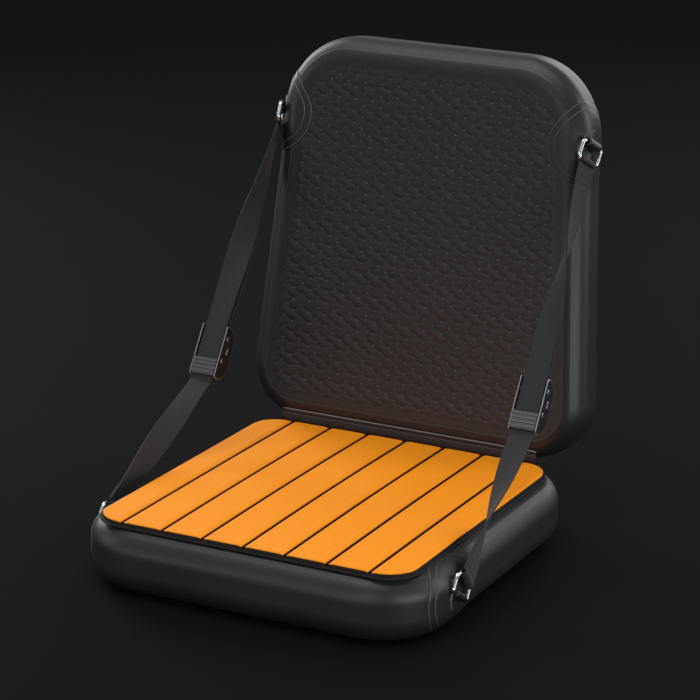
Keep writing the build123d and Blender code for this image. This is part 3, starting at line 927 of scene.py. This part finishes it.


# Stitches, repeated along a path.

def repeatTree():
    tree = bpy.data.node_groups.new("repeatAlong", "GeometryNodeTree")
    face = tree.interface
    face.new_socket("Geometry", in_out="INPUT", socket_type="NodeSocketGeometry")
    wanted = (("Spacing", "NodeSocketFloat", 0.0024), ("Length", "NodeSocketFloat", 0.0019),
              ("Thickness", "NodeSocketFloat", 0.0006), ("Finish", "NodeSocketMaterial", None))
    for name, kind, value in wanted:
        socket = face.new_socket(name, in_out="INPUT", socket_type=kind)
        if value is not None:
            socket.default_value = value
    face.new_socket("Geometry", in_out="OUTPUT", socket_type="NodeSocketGeometry")

    def add(kind, settings=None, **links):
        made = tree.nodes.new(kind)
        for key, value in (settings or {}).items():
            setattr(made, key, value)
        for key, value in links.items():
            if isinstance(value, bpy.types.NodeSocket):
                tree.links.new(value, made.inputs[key])
            else:
                made.inputs[key].default_value = value
        return made

    start, end = add("NodeGroupInput"), add("NodeGroupOutput")
    get = start.outputs
    curve = add("GeometryNodeMeshToCurve", Mesh=get["Geometry"])
    spaced = add("GeometryNodeResampleCurve", {"mode": "LENGTH"}, Curve=curve.outputs[0],
                 Length=get["Spacing"])
    bead = add("GeometryNodeMeshUVSphere", Segments=8, Rings=6, Radius=0.5)
    size = add("ShaderNodeCombineXYZ", X=get["Thickness"], Y=get["Thickness"], Z=get["Length"])
    shaped = add("GeometryNodeTransform", Geometry=bead.outputs[0], Scale=size.outputs[0])
    tangent = add("GeometryNodeInputTangent")
    turned = add("FunctionNodeAlignRotationToVector", {"axis": "Z"}, Vector=tangent.outputs[0])
    placed = add("GeometryNodeInstanceOnPoints", Points=spaced.outputs[0], Instance=shaped.outputs[0],
                 Rotation=turned.outputs[0])
    solid = add("GeometryNodeRealizeInstances", Geometry=placed.outputs[0])
    dressed = add("GeometryNodeSetMaterial", Geometry=solid.outputs[0], Material=get["Finish"])
    tree.links.new(dressed.outputs[0], end.inputs[0])
    return tree


repeatAlong = repeatTree()


def repeated(name, paths, finish, **values):
    points, edges = [], []
    for path in paths:
        edges += [(len(points) + k, len(points) + k + 1) for k in range(len(path) - 1)]
        points += [tuple(p) for p in path]
    mesh = bpy.data.meshes.new(name)
    mesh.from_pydata(points, edges, [])
    piece = bpy.data.objects.new(name, mesh)
    bpy.context.scene.collection.objects.link(piece)
    layer = piece.modifiers.new("repeat", "NODES")
    layer.node_group = repeatAlong
    for item in repeatAlong.interface.items_tree:
        if item.in_out == "INPUT" and item.name in values:
            layer[item.identifier] = values[item.name]
        if item.in_out == "INPUT" and item.name == "Finish":
            layer[item.identifier] = finish.material
    settle(piece)
    piece.data.polygons.foreach_set("use_smooth", [True] * len(piece.data.polygons))
    return piece


upper = upperWebbing()
for word, (made, seams) in (("Lower", lowerWebbing()), ("Upper", upper[:2])):
    points, faces, uvs = made
    right = makeMesh("rightStrap" + word, points, faces, webFinish, uvs=uvs)
    right.data.set_sharp_from_angle(angle=math.radians(50))
    left = flipped("leftStrap" + word, right)
    for side, piece, sign in (("right", right, 1), ("left", left, -1)):
        if word == "Lower":
            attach(piece, side + "_strap")
        else:
            start = upper[4].copy()
            end = highFrame @ Vector((0, strapSize["ring"] + 0.012, 0))
            start.x *= sign
            end.x *= sign
            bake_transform(piece)
        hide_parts(side + "_strap_" + word.lower())
    rows = [[c + across * (x / 10 * 0.0105) for x in range(-10, 11)] for c, across in seams]
    stitches = repeated("rightStitches" + word, rows, threadFinish, Spacing=0.0023, Length=0.0019,
                        Thickness=0.0006)
    others = flipped("leftStitches" + word, stitches)
    for side, piece in (("right", stitches), ("left", others)):
        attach(piece, side + ("_strap" if word == "Lower" else "_upper_ring"))

# The turn round the webbing bar is made as a piece of its own on each side.
points, faces, uvs = upper[2]
turnRight = makeMesh("rightStrapTurn", points, faces, webFinish, uvs=uvs)
turnRight.data.set_sharp_from_angle(angle=math.radians(50))
turnLeft = flipped("leftStrapTurn", turnRight)
for side, piece, sign in (("right", turnRight, 1), ("left", turnLeft, -1)):
    near, far = upper[3].copy(), upper[4].copy()
    near.x *= sign
    far.x *= sign
    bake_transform(piece)
    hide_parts(side + "_strap_upper")
print("straps made")


# Buckles.

def platePlan():
    # side plate seen from the side: straight front, boat-shaped rear, as (along, out)
    h, f, r = buckleSize["long"] / 2, buckleSize["front"], buckleSize["front"] - buckleSize["deep"]
    rear, nose = buckleSize["rear"], buckleSize["nose"]
    return roundedPlan([(-h, r, rear), (h, r, rear), (h, f, nose), (-h, f, nose)], 0.0022)


def plateMesh(side):
    rail = platePlan()
    x0 = side * buckleSize["gap"] / 2
    x1 = x0 + side * buckleSize["plate"]
    c = buckleSize["chamfer"]
    levels = [(x0, c * 2.2, 0.0), (x0, c, 0.9), (x0 + side * c * 0.6, 0.0, 1.0),
              (x1 - side * c * 0.6, 0.0, 1.0), (x1, c, 1.0), (x1, c * 2.2, 0.0)]
    points, rims = [], []
    for x, inset, rim in levels:
        for p, n in rail:
            q = p - n * inset
            points.append(bucklePoint(x, q.x, q.y))
            rims.append(rim)
    count = len(rail)
    faces = gridFaces(len(levels), count, True)
    faces.append(tuple(range(count - 1, -1, -1)))
    faces.append(tuple(range((len(levels) - 1) * count, len(levels) * count)))
    if side > 0:
        faces = [tuple(reversed(f)) for f in faces]
    return points, faces, rims


def bossMesh(at, radius, high, stretch=0.0, count=20):
    # a round or long raised detail on the outer face of the right-hand plate
    x = buckleSize["gap"] / 2 + buckleSize["plate"]
    rings = [(radius, -0.0002, 0.0), (radius, high * 0.6, 1.0), (radius * 0.8, high, 1.0),
             (radius * 0.62, high, 0.0), (radius * 0.5, high * 0.2, 0.0)]
    points, rims = [], []
    for r, lift, rim in rings:
        for k in range(count):
            a = 2 * math.pi * k / count
            along = at[0] + r * math.cos(a) + (stretch if math.cos(a) > 0 else -stretch)
            points.append(bucklePoint(x + lift, along, at[1] + r * math.sin(a)))
            rims.append(rim)
    faces = gridFaces(len(rings), count, True)
    faces.append(tuple(range((len(rings) - 1) * count, len(rings) * count)))
    return points, faces, rims


def buckleFrame():
    parts = [plateMesh(1), plateMesh(-1)]
    bosses = ((buckleSize["pin"], 0.0026, 0.0), (buckleSize["bar"], 0.0028, 0.0),
              ((0.004, -0.0110), 0.0020, 0.0022))
    for at, radius, stretch in bosses:
        boss = bossMesh(at, radius, 0.0008, stretch)
        parts.append(boss)
        other = [Vector((2 * buckleAt.x - p.x, p.y, p.z)) for p in boss[0]]
        parts.append((other, [tuple(reversed(f)) for f in boss[1]], boss[2]))
    # tie between the plates, folded in at the rear
    w, t, r = buckleSize["gap"] / 2, buckleSize["plate"], buckleSize["front"] - buckleSize["deep"]
    half = buckleSize["tie"] / 2
    box = [bucklePoint(x, a, o) for x in (-w, w) for a in (-half, half) for o in (r, r + t)]
    walls = [(0, 1, 3, 2), (4, 6, 7, 5), (0, 4, 5, 1), (2, 3, 7, 6), (0, 2, 6, 4), (1, 5, 7, 3)]
    parts.append((box, walls, [0.0] * len(box)))
    points, faces, rims = joined(parts)
    piece = makeMesh("rightBuckleFrame", points, faces, blackMetal, readings={"rim": rims})
    piece.data.set_sharp_from_angle(angle=math.radians(30))
    return piece


frameRight = buckleFrame()
frameLeft = flipped("leftBuckleFrame", frameRight)
for side, piece in (("right", frameRight), ("left", frameLeft)):
    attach(piece, side + "_buckle")
    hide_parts(side + "_buckle_frame")
print("buckles made")


# Finishes for the parts carried over from the frame.

carried = {
    "d_ring": steelFinish, "buckle_frame": blackMetal, "buckle_cam": padMetal,
    "buckle_cam_pin": steelFinish, "buckle_webbing_bar": steelFinish, "buckle_cam_spring": springSteel,
    "valve_body": valveFinish, "valve_plunger": valveFinish, "valve_cap": capFinish,
    "drop_stitch_core": yarnFinish,
}
for name, node in nodes.items():
    for ending, finish in carried.items():
        if name.endswith(ending):
            node.data.materials.clear()
            node.data.materials.append(finish.material)

# Stage, light and camera.

floorFinish = Finish("darkFloor", SpecularIorLevel=0.05)
floorFinish.set(BaseColor=floorFinish.mix(floorFinish.noise(3.0, 2.0), rgb(0.004, 0.004, 0.0042),
                                          rgb(0.005, 0.005, 0.0052)), Roughness=0.9)
floorHalf, sunk = 14, -0.0004
corners = [(x * floorHalf, y * floorHalf, sunk) for x, y in ((-1, -1), (1, -1), (1, 1), (-1, 1))]
floor = makeMesh("floor", corners, [(0, 1, 2, 3)], floorFinish, smooth=False)

lamps = {
    "overhead": {"at": (-0.2, -0.2, 2.3), "to": (0, 0.05, 0.2), "size": (1.8, 1.8), "watts": 26},
    "leftBehind": {"at": (-1.9, 1.1, 1.1), "to": (0, 0.1, 0.25), "size": (0.9, 1.6), "watts": 22},
    "rightBehind": {"at": (2.0, 1.3, 0.9), "to": (0, 0.1, 0.25), "size": (0.8, 1.6), "watts": 16},
    "front": {"at": (0.2, -2.6, 0.9), "to": (0, 0, 0.1), "size": (2.0, 1.0), "watts": 9},
    "lowFront": {"at": (-0.15, -0.85, 0.07), "to": (0, -0.2, 0.03), "size": (1.2, 0.12), "watts": 0.9},
    "lowRight": {"at": (1.2, -0.45, 0.16), "to": (0.15, 0, 0.03), "size": (0.9, 0.28), "watts": 5},
    "leftFront": {"at": (-2.0, -0.8, 0.6), "to": (-0.2, 0.1, 0.25), "size": (0.6, 1.0), "watts": 4},
    "behind": {"at": (0.3, 2.6, 1.0), "to": (0, 0.2, 0.2), "size": (1.8, 1.0), "watts": 14},
}
for name, lamp in lamps.items():
    light = bpy.data.lights.new(name, "AREA")
    light.shape = "RECTANGLE"
    light.size, light.size_y = lamp["size"]
    light.energy = lamp["watts"]
    holder = bpy.data.objects.new(name, light)
    at = Vector(lamp["at"])
    holder.location = at
    holder.rotation_euler = (Vector(lamp["to"]) - at).to_track_quat("-Z", "Y").to_euler()
    bpy.context.scene.collection.objects.link(holder)

world = bpy.data.worlds.new("studio")
world.use_nodes = True
world.node_tree.nodes["Background"].inputs[0].default_value = (0.85, 0.88, 0.92, 1)
world.node_tree.nodes["Background"].inputs[1].default_value = 0.36
bpy.context.scene.world = world
bpy.context.scene.view_settings.view_transform = "Standard"

eye = bpy.data.cameras.new("camera")
eye.lens, eye.sensor_width = 141.87, 36.0
eye.clip_start = 0.1
camera = bpy.data.objects.new("camera", eye)
right = Vector((0.89374189, 0.44815865, 0.01947453))
up = Vector((-0.14652398, 0.25062289, 0.95693202))
camera.matrix_world = axesMatrix(Vector((1.1837, -2.3632, 1.0172)), right, up, right.cross(up))
bpy.context.scene.collection.objects.link(camera)
bpy.context.scene.camera = camera
print("stage made")
